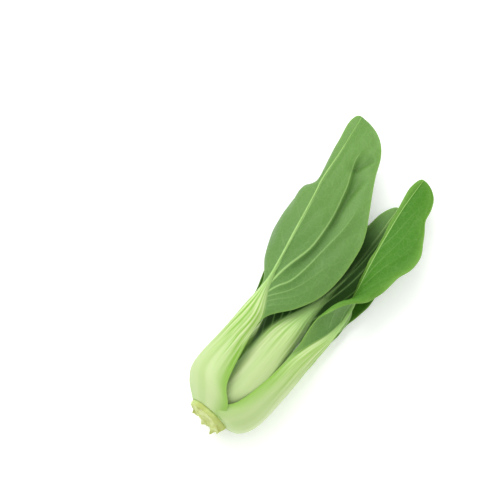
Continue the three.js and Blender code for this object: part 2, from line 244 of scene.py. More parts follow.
@dataclass(frozen=True)
class LeafTissue:
    """Living bok choy leaf: a waxy cuticle over green flesh, matt and paler underneath.

    The upper skin is saturated green with a soft gloss, the underside has a grey bloom, the
    stalk is pale, wet-looking and streaked by its strands, and light comes through the blade.
    """

    name: str
    upper: str = "4e8a20"
    upper_deep: str = "3f7a1a"
    under: str = "689347"
    under_deep: str = "568439"
    # Painted light: the outer face is made paler towards the tip, standing in for the brighter light
    # there.
    under_tip_painted_light: str = "7caa50"
    vein: str = "a3cb78"
    stalk: str = "a9c377"
    stalk_base: str = "b4c98b"
    stalk_green: str = "80b03a"
    stalk_pale: str = "cdd9a8"
    streak: str = "d9e8b0"
    # Paler margin of the blade; where a leaf's rim is made wide it is also painted light.
    rim: str = "93bf58"
    # Dark green of the painted shade, which stands in for the shadow of the other leaves.
    painted_shade_colour: str = "27441a"
    roughness: float = 0.42
    # Light that comes through the blade, and through the stalk.
    glow: float = 0.18
    stalk_glow: float = 0.04
    # Gloss of the upper skin and of the bloom, and how much of it goes where shade is painted.
    gloss: Pair = (0.25, 0.5)
    gloss_lost: float = 0.45
    # Meshes of the vein network: size in millimetres and width of the lines as a share of it.
    nets: tuple[Pair, ...] = ((4.2, 0.075), (1.7, 0.11))
    fine_net: float = 0.45
    net_show: float = 0.10
    # The network bends by so many millimetres over so many.
    bend: float = 2.2
    bend_span: float = 6.0
    # Streaks across the stalk's half-width, their length and the size of clouds in millimetres.
    streaks: float = 8.0
    streak_run: float = 60.0
    cloud: float = 28.0
    relief: float = 0.6

    def network(self, tree: Tree, place: Socket) -> Socket:
        """Draws the netted small veins, which bend gently."""
        warp = add_noise(tree, place, 1000 / self.bend_span, 1.0).outputs["Color"]
        inputs = {0: warp, 1: (self.bend * MILLIMETRE,) * 3, 2: place}
        bent = add_node(tree, "VectorMath", inputs, operation="MULTIPLY_ADD").outputs[0]
        drawn = []
        for cell, width in self.nets:
            inputs = {"Scale": 1000 / cell, "Vector": bent}
            edge = add_node(tree, "TexVoronoi", inputs, feature="DISTANCE_TO_EDGE")
            drawn.append(ramp(tree, edge.outputs["Distance"], 0.0, width, (1.0, 0.0)))
        return scaled(tree, drawn[1], self.fine_net, drawn[0])

    def strands(self, tree: Tree, share: Socket, run: Socket) -> Socket:
        """Draws strands that run the length of the stalk and draw together as it narrows."""
        place = add_node(tree, "CombineXYZ", {"X": share, "Y": run}).outputs[0]
        inputs = {0: place, 1: (self.streaks, 1 / self.streak_run, 1.0)}
        stretched = add_node(tree, "VectorMath", inputs, operation="MULTIPLY").outputs[0]
        return add_noise(tree, stretched, 1.0, 3.0, 0.6).outputs["Fac"]

    def build(self) -> Material:
        """Makes the material from the leaf's own attributes and Object coordinates."""
        material = bpy.data.materials.new(self.name)
        tree = empty_tree(material)
        masks = read_masks(
            tree, "flesh vein under rim strand share run height midrib shade pale tipward"
        )
        place = add_node(tree, "TexCoord").outputs["Object"]
        cloud = add_noise(tree, place, 1000 / self.cloud, 3.0, 0.55).outputs["Fac"]
        net = self.network(tree, place)
        strands = self.strands(tree, masks["share"], masks["run"])
        streaks = ramp(tree, strands, 0.44, 0.62, (0.0, masks["height"]))
        veins = ramp(tree, masks["vein"], 0.18, 0.95)
        # Each layer: its name, its mask and gain, what lies below and what is laid over.
        layers = (
            ("top face", cloud, 1.0, self.upper_deep, self.upper),
            ("bottom face", cloud, 1.0, self.under_deep, self.under),
            # Painted light: the outer face grows paler towards the tip.
            ("paler end", masks["tipward"], 0.34, "bottom face", self.under_tip_painted_light),
            ("blade", masks["under"], 1.0, "top face", "paler end"),
            ("netted", net, self.net_show, "blade", self.vein),
            ("veined", veins, 1.0, "netted", self.vein),
            ("base", masks["height"], 1.0, self.stalk_base, self.stalk),
            ("pale", masks["pale"], 0.48, "base", self.stalk_pale),
            ("greened", masks["strand"], 1.0, "pale", self.stalk_green),
            ("streaked", streaks, 0.7, "greened", self.streak),
            ("stalk", masks["midrib"], 1.0, "streaked", self.vein),
            ("whole", masks["flesh"], 1.0, "veined", "stalk"),
            # Painted shade: dark green laid where the other leaves would shadow this one.
            ("leaf", masks["shade"], 1.0, "whole", self.painted_shade_colour),
            ("edged", masks["rim"], 0.5, "leaf", self.rim),
        )
        laid = {}
        for name, mask, gain, *ends in layers:
            below, above = (laid[end] if end in laid else linear(end) for end in ends)
            laid[name] = blend(tree, scaled(tree, mask, gain), below, above)
        colour = laid["edged"]

        inputs = {0: masks["flesh"], 2: scaled(tree, net, -0.4), 3: strands}
        height = add_node(tree, "Mix", inputs, data_type="FLOAT").outputs[0]
        inputs = {"Strength": 0.35, "Distance": self.relief * MILLIMETRE, "Height": height}
        bump = add_node(tree, "Bump", inputs).outputs["Normal"]
        # The bloom underneath scatters more light off the skin than the wet green face does,
        # and where shade is painted the gloss is lowered too, so the painted shadow stays dark.
        shine = ramp(tree, masks["under"], 0.0, 1.0, self.gloss, "LINEAR")
        shine = scaled(tree, masks["shade"], -self.gloss_lost, shine)
        inputs = {
            "Base Color": colour,
            "Normal": bump,
            "Roughness": self.roughness,
            "Specular IOR Level": shine,
            "IOR": 1.4,
            "Subsurface Weight": 0.12,
            "Subsurface Radius": (0.6, 1.0, 0.3),
            "Subsurface Scale": 0.003,
        }
        skin = add_node(tree, "BsdfPrincipled", inputs).outputs[0]
        inputs = {"Color": colour, "Normal": bump}
        through = add_node(tree, "BsdfTranslucent", inputs).outputs[0]
        amount = ramp(tree, masks["flesh"], 0.0, 1.0, (self.glow, self.stalk_glow), "LINEAR")
        both = add_node(tree, "MixShader", {0: amount, 1: skin, 2: through}).outputs[0]
        add_node(tree, "OutputMaterial", {"Surface": both})
        return material


@dataclass(frozen=True)
class CutStemTissue:
    """Cut bok choy stem, drying: yellowish wet flesh, a darker ring and browned torn fibres."""

    name: str
    flesh: str = "cbd892"
    ring: str = "b2bd5c"
    torn: str = "9ba53c"
    skin: str = "c6da8e"
    roughness: float = 0.55
    # Width of the fibres, depth they stand out by and size of the browned spots in millimetres.
    fibre: float = 1.8
    relief: float = 0.8
    spot: float = 7.0
    browning: float = 0.55

    def build(self) -> Material:
        """Makes the material from the stem's own attributes and Object coordinates."""
        material = bpy.data.materials.new(self.name)
        tree = empty_tree(material)
        masks = read_masks(tree, "cut ring rim")
        place = add_node(tree, "TexCoord").outputs["Object"]
        fibres = add_noise(tree, place, 1000 / self.fibre, 6.0, 0.7).outputs["Fac"]
        patches = add_noise(tree, place, 1000 / self.spot, 3.0).outputs["Fac"]
        spots = ramp(tree, patches, 0.42, 0.62)
        layers = (
            (masks["cut"], 1.0, self.flesh),
            (masks["ring"], 1.0, self.ring),
            (masks["rim"], 1.0, self.torn),
            (spots, self.browning, self.torn),
        )
        colour = linear(self.skin)
        for mask, gain, over in layers:
            colour = blend(tree, scaled(tree, mask, gain), colour, linear(over))
        inputs = {"Strength": 0.6, "Distance": self.relief * MILLIMETRE, "Height": fibres}
        bump = add_node(tree, "Bump", inputs).outputs["Normal"]
        inputs = {
            "Base Color": colour,
            "Normal": bump,
            "Roughness": self.roughness,
            "Subsurface Weight": 0.15,
            "Subsurface Radius": (1.0, 0.9, 0.4),
            "Subsurface Scale": 0.003,
        }
        flesh = add_node(tree, "BsdfPrincipled", inputs).outputs[0]
        add_node(tree, "OutputMaterial", {"Surface": flesh})
        return material


@dataclass(frozen=True)
class Vein:
    """One side vein of a blade.

    Its points are a share of the half-width and a distance along the leaf in millimetres.
    """

    side: Side
    points: tuple[Pair, ...]
    width: float
    strength: float
    # Depth of the crease along its outer side.
    crease: float = 0.0


def side_veins(side: Side, *rows: tuple) -> tuple[Vein, ...]:
    """Makes the veins of one half from rows of points, width, strength and crease."""
    return tuple(Vein(side, *row) for row in rows)


@dataclass(frozen=True, kw_only=True)
class Leaf:
    """One leaf: its stalk, midrib and blade as a single closed shell.

    `path` is the midline of the inner face; the other curves give values at the same points.
    `faces` is the direction the inner face looks to, in degrees round the axis from +X up.
    `left` and `right` are half-widths, and `curl` is how far each half has turned towards the
    inner face at the margin; `right` and `curl_right` are given where the halves differ.
    `fold_right` is how far the right half has turned at the midrib, and `roll_right` how far
    its outer third turns beyond its curl. `rib` is the half-width of the stalk or midrib,
    `thick` its thickness, `blade_start` the point from which there is a blade, `tip` the
    length of the rounded end and `blunt` how square that end is.

    `laid` names the halves that get evenly laid veins, in so many `pairs`. `shade` is how much
    painted shade darkens a leaf where the others would shadow it, `foot` stretches the pale
    foot of the stalk, `bloom_turn` shifts its whiter bands, `green_edge` is the width of its
    green margin and `rim_width` that of the blade's pale rim, partly its own paler margin
    and, where wide, painted light on a strip that turns away from the light.
    over `wave_length`, and the blade swells by `pillow` between its veins.
    """

    name: str
    path: tuple[Triple, ...]
    faces: Curve
    left: Curve
    right: Curve | None = None
    curl: Curve
    curl_right: Curve | None = None
    rib: Curve
    thick: Curve
    blade_start: float = 4.2
    tip: float = 20.0
    fold_right: Curve | float = 0.0
    roll_right: Curve | float = 0.0
    blunt: float = 2.0
    veins: tuple[Vein, ...] = ()
    laid: tuple[Side, ...] = (Side.LEFT, Side.RIGHT)
    # Share of the painted shade laid over the leaf.
    shade: float = 0.4
    foot: float = 1.0
    bloom_turn: float = 0.0
    green_edge: float = 8.0
    rim_width: float = 0.8
    pairs: int = 7
    rows: int = 150
    columns: int = 28
    wave: float = 0.5
    wave_length: float = 26.0
    pillow: float = 0.9
    seed: float = 0.0

    def measured(self) -> tuple[np.ndarray, np.ndarray]:
        """Parameters along the midline and the distances reached at them."""
        t = np.linspace(0, len(self.path) - 1, 1200)
        steps = np.linalg.norm(np.diff(smooth_curve(self.path, t), axis=0), axis=1)
        return t, np.concatenate(([0.0], np.cumsum(steps)))

    def half_width(self, t: np.ndarray, side: Side) -> np.ndarray:
        """Half-width of one side, rounded off towards the tip."""
        is_own = side is Side.RIGHT and self.right is not None
        full = smooth_curve(self.right if is_own else self.left, t)
        table, reached = self.measured()
        left = reached[-1] - np.interp(t, table, reached)
        share = np.clip(1 - np.clip(1 - left / self.tip, 0, 1) ** self.blunt, 0, 1)
        return full * np.maximum(share ** (1 / self.blunt), BLUNT_TIP)

    def row_distances(self, length: float) -> np.ndarray:
        """Even rows up to the rounded end, then rows at even angles round it."""
        in_tip = max(12, self.rows // 8)
        main = np.linspace(0, length - self.tip, self.rows - in_tip + 1)
        angles = np.linspace(0, math.acos(BLUNT_TIP), in_tip + 1)[1:]
        return np.concatenate((main, length - self.tip * (1 - np.sin(angles))))

    def sheet(self) -> BMesh:
        """A flat grid, extruded to two faces, whose vertices carry their place on the leaf."""
        bm = bmesh.new()
        bmesh.ops.create_grid(bm, x_segments=2 * self.columns, y_segments=self.rows, size=1.0)
        across = bm.verts.layers.float.new("across")
        row = bm.verts.layers.float.new("row")
        outer = bm.verts.layers.float.new("outer")
        for vert in bm.verts:
            vert[across] = vert.co.x
            vert[row] = (vert.co.y + 1) / 2 * self.rows
        grown = bmesh.ops.extrude_face_region(bm, geom=bm.faces[:], use_keep_orig=True)
        for item in grown["geom"]:
            if isinstance(item, BMVert):
                item[outer] = 1.0
                item.co.z = -0.1
        bmesh.ops.recalc_face_normals(bm, faces=bm.faces[:])
        return bm

    def vein_lines(self, side: Side) -> list[tuple[np.ndarray, Vein]]:
        """Side veins of one half, each with its line of out and along distances."""
        table, reached = self.measured()
        length = reached[-1]
        start = float(np.interp(self.blade_start, table, reached))
        drawn = [v for v in self.veins if v.side is side]
        if side in self.laid:
            first, last = start + 2, length - 0.55 * self.tip
            for k in range(self.pairs):
                share = (k + (0.5 if side is Side.RIGHT else 0.0)) / self.pairs
                root = first + (last - first) * share**0.9
                width = float(self.half_width(np.interp([root], reached, table), side)[0])
                reach = (0.95 - 0.35 * share) * width + 6
                line = tuple((x, root + reach * (1.05 * x**1.15 + 0.4 * x**3)) for x in LAID_SHARES)
                drawn.append(Vein(side, line, 1.0 - 0.4 * share, 0.5 - 0.15 * share))
        lines = []
        for vein in drawn:
            u = np.linspace(0, len(vein.points) - 1, 28)
            share, along = smooth_curve(vein.points, u).T
            along = np.clip(along, 0, length - 0.5)
            width = self.half_width(np.interp(along, reached, table), side)
            lines.append((np.stack((share * width, along), 1), vein))
        return lines

    def vein_field(self, out: np.ndarray, along: np.ndarray, side: Side) -> tuple:
        """How the veins of one half show at each point.

        Args:
            out: Distances from the midrib.
            along: Distances along the leaf.
            side: Which half.

        Returns:
            Strength of the vein there, distance from the nearest one, depth of the creases and
            how much painted shadow lies there along one.
        """
        mask, crease, crease_shadow = np.zeros((3, *out.shape))
        nearest = np.full_like(out, 60.0)
        for line, vein in self.vein_lines(side):
            a, b = line[:-1], line[1:]
            span = b - a
            size = np.maximum((span**2).sum(1), 1e-9)
            best = np.full_like(out, 1e9)
            place, beyond = np.zeros((2, *out.shape))
            for k in range(len(a)):
                off, run = out - a[k, 0], along - a[k, 1]
                u = np.clip((off * span[k, 0] + run * span[k, 1]) / size[k], 0, 1)
                gap = np.hypot(off - u * span[k, 0], run - u * span[k, 1])
                closer = gap < best
                best = np.where(closer, gap, best)
                place = np.where(closer, (k + u) / len(a), place)
                beyond = np.where(closer, off * span[k, 1] - run * span[k, 0], beyond)
            wide = vein.width * (1 - 0.55 * place) * 0.42 + 0.2
            fade = vein.strength * (1 - 0.45 * place) * smooth_step(1.0, 0.86, place)
            mask = np.maximum(mask, fade * np.exp(-((best / wide) ** 2)))
            nearest = np.minimum(nearest, best)
            if vein.crease:
                outer = np.where(beyond > 0, best, -best)
                ends = smooth_step(0.02, 0.25, place) * smooth_step(0.98, 0.75, place)
                crease += vein.crease * lopsided(outer, *VALLEY) * ends
                # Painted shadow along the crease, laid on through the shade mask.
                crease_shadow += HOLLOW_SHADE * vein.crease * lopsided(outer, *HOLLOW) * ends
        return mask, nearest, crease, crease_shadow

    def half(self, t: np.ndarray, side: Side) -> dict[str, np.ndarray]:
        """Cross-sections of one half, with a row for each t and a column for each share.

        Args:
            t: Parameters of the rows.
            side: Which half.

        Returns:
            Distance from the midrib, direction turned to, and reach and rise from the midline.
        """
        width = self.half_width(t, side)[:, None]
        turns = (0.0, self.curl, 0.0)
        if side is Side.RIGHT:
            turns = (self.fold_right, self.curl_right or self.curl, self.roll_right)
        fold, curl, roll = (np.radians(smooth_curve(turn, t))[:, None] for turn in turns)
        share = np.linspace(0, 1, self.columns + 1)[None, :]
        out = width * share
        angle = fold * smooth_step(0, 2.5, out) + (curl - fold) * share
        angle = angle + roll * smooth_step(0.66, 1.0, share)
        between = (angle[:, 1:] + angle[:, :-1]) / 2
        step = width / self.columns
        start = np.zeros((len(t), 1))
        reach = np.concatenate((start, np.cumsum(np.cos(between) * step, axis=1)), axis=1)
        rise = np.concatenate((start, np.cumsum(np.sin(between) * step, axis=1)), axis=1)
        return {"out": out, "angle": angle, "reach": reach, "rise": rise, "width": width + 0 * out}

    def sections(self) -> dict[str, np.ndarray]:
        """Joins both halves: a row for each distance, a column for each place across."""
        table, reached = self.measured()
        length = reached[-1]
        distances = self.row_distances(length)
        t = np.interp(distances, reached, table)
        facing = np.radians(smooth_curve(self.faces, t))
        normal = np.stack((np.cos(facing), np.sin(facing)), 1)[:, None, :]
        middle = smooth_curve(self.path, t)
        rib = np.maximum(smooth_curve(self.rib, t), 0.5)[:, None]
        extra = np.maximum(smooth_curve(self.thick, t) - SKIN, 0)[:, None]
        bladed = smooth_step(self.blade_start - 0.55, self.blade_start + 0.35, t)[:, None]
        start = float(np.interp(self.blade_start, table, reached))
        rib = rib * (1 - 0.5 * smooth_step(*THINNING, distances - start))[:, None]
        halves = {}
        for side in Side:
            half = self.half(t, side)
            sign, out, width = side.value, half["out"], half["width"]
            across = np.stack((normal[..., 1] * sign, -normal[..., 0] * sign), -1)
            inner = across * half["reach"][..., None] + normal * half["rise"][..., None]
            back = across * np.sin(half["angle"])[..., None]
            back = back - normal * np.cos(half["angle"])[..., None]
            along = distances[:, None] + 0 * out
            mask, nearest, crease, crease_shadow = self.vein_field(out, along, side)
            inside = out / rib
            margin = width - out
            rounding = np.minimum(ROUNDING[0], ROUNDING[1] * width)
            off = 1 - np.clip(margin / rounding, 0, 1)
            rounded = np.sqrt(np.maximum(1 - off**2, 0))
            halves[side] = {
                "x": middle[:, :1] + inner[..., 0],
                "z": middle[:, 2:] + inner[..., 1],
                "back_x": back[..., 0],
                "back_z": back[..., 1],
                "y": middle[:, 1:2] + 0 * along,
                "along": along,
                "past": along - start,
                "left_over": length - along,
                "inside": inside * sign,
                "margin": margin,
                "share": out / width,
                "mask": mask,
                "crease": crease,
                "crease_shadow": crease_shadow,
                "nearest": np.minimum(nearest, np.maximum(out - rib, 0) + 1.0),
                "flesh": 1 - smooth_step(0.8, 1.2, inside) * bladed,
                "inner_flesh": 1 - smooth_step(0.25, 0.6, inside) * bladed,
                "thick": SKIN
                + extra * np.clip(1 - inside**2, 0, 1) ** 1.1 * rounded
                - THINNED * smooth_step(1.5, 0.0, margin),
                "bladed": bladed + 0 * along,
                "sign": sign + 0 * along,
            }
        left, right = halves[Side.LEFT], halves[Side.RIGHT]
        for key in ("back_x", "back_z"):
            left[key][:, 0] = (left[key][:, 0] + right[key][:, 0]) / 2
        return {key: np.concatenate((left[key][:, ::-1], right[key][:, 1:]), 1) for key in left}

    def relief(self, grid: dict, strand: np.ndarray) -> tuple[np.ndarray, np.ndarray]:
        """How far the inner face is lifted off the plain sheet, and the outer face off that."""
        names = ("along", "margin", "mask", "flesh")
        along, margin, mask, flesh = (grid[name] for name in names)
        blade_only = 1 - flesh
        pillow = (0.5 - np.exp(-((grid["nearest"] / 5.5) ** 2))) * self.pillow
        lift = -(pillow + grid["crease"]) * blade_only * smooth_step(0.0, 5.0, margin)
        phase = 2 * math.pi * along / self.wave_length + self.seed
        ripple = np.sin(phase + 0.8 * grid["sign"]) + 0.5 * np.sin(1.9 * phase + 2.1 + self.seed)
        to_tip = smooth_step(0, 12, grid["left_over"])
        lift += self.wave * ripple * grid["share"] ** 3 * blade_only * to_tip
        grown = 0.05 + 0.95 * smooth_step(30, 85, along)
        ridge = STRAND_RIDGE * strand * flesh * grown * smooth_step(0.0, 2.5, margin)
        return lift, grid["thick"] + (0.1 + 0.35 * mask) * mask * blade_only + ridge

    def shape(self, bm: BMesh) -> dict[str, np.ndarray]:
        """Moves the sheet's vertices to the leaf and works out their masks."""
        grid = self.sections()
        strand = self.strands(grid["inside"], grid["along"])
        lift, raised = self.relief(grid, strand)
        marks = []
        for key in ("across", "row", "outer"):
            layer = bm.verts.layers.float[key]
            marks.append(np.array([vert[layer] for vert in bm.verts]))
            bm.verts.layers.float.remove(layer)
        across, row, outer = marks
        place = (np.rint(row).astype(int), np.rint((across + 1) * self.columns).astype(int))
        shift = outer * raised[place] + lift[place]
        x = grid["x"][place] + grid["back_x"][place] * shift
        z = np.maximum(grid["z"][place] + grid["back_z"][place] * shift, 0.0)
        points = np.stack((x, grid["y"][place], z), 1) + HEAD_SHIFT
        for vert, point in zip(bm.verts, points * MILLIMETRE):
            vert.co = point
        values = self.mask_values(grid, strand)
        masks = {key: value[place] for key, value in values.items()}
        masks["under"] = outer
        masks["flesh"] = np.where(outer > 0.5, grid["flesh"][place], grid["inner_flesh"][place])
        return masks

    def mask_values(self, grid: dict, strand: np.ndarray) -> dict[str, np.ndarray]:
        """Masks that the material reads, at each point of the grid."""
        names = ("along", "margin", "inside", "mask")
        along, margin, inside, mask = (grid[name] for name in names)
        blade_only = 1 - grid["flesh"]
        high = smooth_step(22.0 * self.foot, 85.0 * self.foot, along)
        greener = 0.12 + 0.88 * high
        edge = smooth_step(self.green_edge, 0.0, margin) * (1 - 0.6 * grid["bladed"])
        edge = np.maximum(edge, 0.6 * smooth_step(0.5, 1.0, np.abs(inside)))
        past = grid["past"]
        up = along / (along + grid["left_over"])
        # Painted shade: the blade, and the midrib past the stalk, are darkened where the other leaves
        # would shadow them, less towards the tip and over the veins.
        shade = np.maximum(blade_only, smooth_step(*SHADING, past))
        shade = shade * self.shade * smooth_step(0.99, 0.8, up) * (1 - 0.7 * mask)
        strand = smooth_step(0.2, 0.85, 0.5 - 0.5 * strand) * greener + 0.75 * edge
        return {
            "vein": np.clip(mask * blade_only, 0, 1),
            "rim": np.exp(-margin / self.rim_width) * (0.5 + 0.5 * grid["bladed"]),
            "strand": np.clip(strand, 0, 1),
            "share": inside,
            "run": along + 40 * self.seed,
            "height": high,
            "pale": self.bloom(inside, along),
            # Painted light towards the tip of the outer face.
            "tipward": smooth_step(0.45, 0.95, up),
            "midrib": smooth_step(*COLOURING, past),
            # The painted shade, together with the shadow painted along the creases.
            "shade": np.maximum(shade, grid["crease_shadow"] * blade_only),
        }

    def strands(self, inside: np.ndarray, along: np.ndarray) -> np.ndarray:
        """Strands of the stalk, from -1 to 1, that draw together where it narrows."""
        wander = 0.12 * np.sin(along / 31 + self.seed) + 0.05 * np.sin(along / 11 + 2 * self.seed)
        broad, fine = (
            sum(
                size * np.sin(2 * math.pi * (waves * inside + drift * wander) + turn * self.seed + fixed)
                for size, waves, drift, turn, fixed in table
            )
            for table in (BROAD_STRANDS, FINE_STRANDS)
        )
        split = smooth_step(20 * self.foot, 65 * self.foot, along)
        return broad * (1 - 0.5 * split) + split * fine

    def bloom(self, inside: np.ndarray, along: np.ndarray) -> np.ndarray:
        """Whiter bands of the stalk, widest at its foot, from 0 to 1."""
        drift = 0.5 * np.sin(along / 23 + self.seed) + 0.3 * np.sin(along / 9 + 3 * self.seed)
        band = np.sin(2 * math.pi * 0.75 * inside + drift + 1.3 * self.seed + self.bloom_turn)
        thin = np.sin(2 * math.pi * 2.1 * inside + 1.5 * drift + self.seed)
        middle = smooth_step(0.95, 0.5, np.abs(inside))
        fading = 1 - 0.8 * smooth_step(35, 85, along)
        return smooth_step(-0.2, 1.2, band + 0.35 * thin) * middle * fading

    def build(self, tissue: Material) -> Object:
        """Makes the leaf's shell, dresses it and puts it in place of its two CAD nodes."""
        bm = self.sheet()
        masks = self.shape(bm)
        leaf = make_piece(bm, f"{self.name}_leaf", masks, 55, tissue)
        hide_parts(f"{self.name}_stalk", f"{self.name}_blade")
        return leaf


@dataclass(frozen=True)
class Stem:
    """Cut stem: a short cone that the leaf bases clasp, with a slanted, torn cut."""

    # Distances from the cut and radii, from the rim of the cut to the growing point.
    profile: tuple[Pair, ...] = (
        (-0.2, 12.0), (1.0, 12.7), (2.4, 13.0), (4.0, 12.4), (6.0, 10.6), (9.0, 8.0),
        (13.5, 5.9), (17.5, 4.6), (20.0, 2.7), (23.0, 1.3), (23.6, 0.05),
    )
    rim_radius: float = 11.4
    lean: float = 1.4
    low_side: float = -50.0
    # Torn tips of the rim: side in degrees, length and half-angle in radians.
    tears: tuple[Triple, ...] = (
        (-54, 3.2, 0.15), (12, 0.9, 0.1), (48, 1.3, 0.16), (82, 0.7, 0.1), (124, 1.5, 0.2),
        (171, 0.8, 0.12), (214, 1.2, 0.17), (262, 0.9, 0.12), (-20, 1.0, 0.12),
    )
    # Where the darker ring lies, as a share of the radius, and the wobble of the outline:
    # strength, waves round it and their turn.
    ring: float = 0.62
    wobble: tuple[Triple, ...] = ((0.02, 3, 1), (0.02, 7, 0), (0.012, 17, 0))
    cut_rows: int = 26
    side_rows: int = 30
    segments: int = 120

    def cut_height(self, angle: np.ndarray, radius: np.ndarray) -> np.ndarray:
        """Distance of the cut face from y = 0, lowest on its torn side."""
        share = radius / self.rim_radius
        torn = np.zeros_like(share)
        for side, length, width in self.tears:
            off = angle - math.radians(side)
            off = np.arctan2(np.sin(off), np.cos(off))
            torn += length * np.exp(-((off / width) ** 2)) * share**5
        lean = self.lean * np.cos(angle - math.radians(self.low_side)) * share
        fibres = 0.3 * np.sin(9 * angle + 7 * share) * share + 0.2 * np.sin(23 * angle) * share**2
        dish = 1.3 * (1 - share**2) ** 2 - 0.5 * lopsided(share, self.ring, 0.12, 0.12)
        return -0.4 - lean - torn + dish + fibres

    def build(self, tissue: Material) -> Object:
        """Makes the stem from a ball whose rows are drawn out along the profile."""
        bm = bmesh.new()
        rows = self.cut_rows + self.side_rows
        bmesh.ops.create_uvsphere(bm, u_segments=self.segments, v_segments=rows, radius=1.0)
        start = np.array([v.co[:] for v in bm.verts])
        angle = np.arctan2(start[:, 1], start[:, 0])
        row = np.arccos(np.clip(start[:, 2], -1, 1)) / math.pi * rows
        on_cut = row <= self.cut_rows
        radius_cut = self.rim_radius * np.clip(row / self.cut_rows, 0, 1) ** 0.9
        down = np.clip((row - self.cut_rows) / self.side_rows, 0, 1) * (len(self.profile) - 1)
        heights, radii = np.array(self.profile).T
        radius_side = np.interp(down, np.arange(len(radii)), radii)
        height_side = np.interp(down, np.arange(len(radii)), heights)
        radius = np.where(on_cut, radius_cut, radius_side)
        radius *= 1 + sum(size * np.sin(waves * angle + turn) for size, waves, turn in self.wobble)
        height = np.where(on_cut, self.cut_height(angle, radius), height_side)
        points = np.stack((radius * np.cos(angle), height, AXIS_HEIGHT + radius * np.sin(angle)), 1)
        points = (points + HEAD_SHIFT) * MILLIMETRE
        for vert, point in zip(bm.verts, points):
            vert.co = point
        bmesh.ops.recalc_face_normals(bm, faces=bm.faces[:])
        share = radius / self.rim_radius
        torn = np.where(on_cut, smooth_step(0.7, 0.98, share), 0.7)
        masks = {
            "cut": on_cut.astype(float),
            "ring": 0.8 * on_cut * lopsided(share, self.ring, 0.11, 0.11),
            "rim": torn * (0.6 + 0.4 * np.sin(4 * angle)),
        }
        stem = make_piece(bm, "cut_stem", masks, 60, tissue)
        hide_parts("stem")
        return stem


FRONT = Leaf(
    name="front",
    path=(
        (-7.5, 3.4, 32), (-14, 11, 36), (-18.4, 21, 38), (-18.4, 44, 40), (-19.2, 66, 40),
        (-22.5, 84, 38.5), (-26.5, 100, 37.5), (-31, 118, 36), (-36.2, 140, 34),
        (-39.2, 152, 32.6), (-41.8, 162, 31), (-45.6, 186, 28), (-50.3, 210.5, 25),
    ),
    faces=(312, 318, 320, 308, 290, 279, 270, 268, 268, 268, 268, 268, 268),
    left=(18.5, 24, 20, 12, 8.8, 23, 33, 39, 41.3, 39.8, 36.5, 26.8, 22.5),
    right=(11, 15, 16.5, 10.5, 6.8, 3.6, 14, 22, 20.5, 16.5, 11, 6, 6.5),
    fold_right=(0, 0, 0, 0, 0, 0, 5, 5, 5, 10, 75, 8, 0),
    curl=(70, 65, 55, 45, 35, 20, 15, 10, 10, 6, 0, -5, -5),
    curl_right=(55, 45, 42, 40, 35, 40, 70, 92, 100, 102, 110, 60, 20),
    rib=(18, 24, 20, 12, 8, 3.2, 2, 1.6, 1.3, 1.15, 1.05, 0.8, 0.5),
    thick=(3, 4.8, 5.5, 5.2, 4.8, 4, 3, 2.4, 2, 1.8, 1.7, 1.4, 1.1),
    tip=22,
    blunt=2.5,
    blade_start=3.2,
    shade=0.0,
    foot=0.7,
    bloom_turn=3.5,
    green_edge=12,
    veins=side_veins(
        Side.LEFT,
        (((0.02, 84), (0.17, 103), (0.33, 121), (0.38, 136), (0.41, 153), (0.45, 170), (0.42, 181),
          (0.4, 191), (0.52, 203)), 1.5, 1.0, 2.4),
        (((0.08, 79), (0.24, 89), (0.38, 97), (0.45, 109), (0.51, 124), (0.57, 136), (0.64, 148),
          (0.71, 158), (0.8, 169)), 1.3, 0.85, 0.7),
        (((0.15, 77), (0.44, 88), (0.56, 97), (0.65, 110), (0.75, 125), (0.81, 139)), 1.1, 0.6),
        (((0.2, 72), (0.52, 83), (0.68, 90), (0.76, 100), (0.83, 113)), 0.9, 0.5),
        (((0.3, 68), (0.68, 80), (0.84, 88), (0.93, 97)), 0.8, 0.45),
        (((0.5, 69), (0.82, 77), (0.95, 85)), 0.7, 0.35),
        (((0.95, 184), (0.81, 180), (0.69, 172), (0.6, 164), (0.54, 154), (0.52, 143), (0.43, 133)),
          0.9, 0.4, 1.1),
        (((0.96, 198), (0.8, 192), (0.6, 185), (0.45, 177)), 0.9, 0.45, 1.6),
        (((0.44, 184), (0.6, 192), (0.72, 198), (0.9, 203)), 0.8, 0.5),
        (((0.37, 134), (0.55, 143), (0.68, 158)), 0.7, 0.35),
        (((0.02, 146), (0.12, 160), (0.24, 178), (0.3, 196)), 0.8, 0.35),
        (((0.02, 118), (0.15, 128), (0.3, 146)), 0.7, 0.3),
    ),
    laid=(Side.RIGHT,),
    rows=300,
    columns=70,
    wave=0.3,
    wave_length=41,
    pillow=0.8,
    seed=0.4,
)
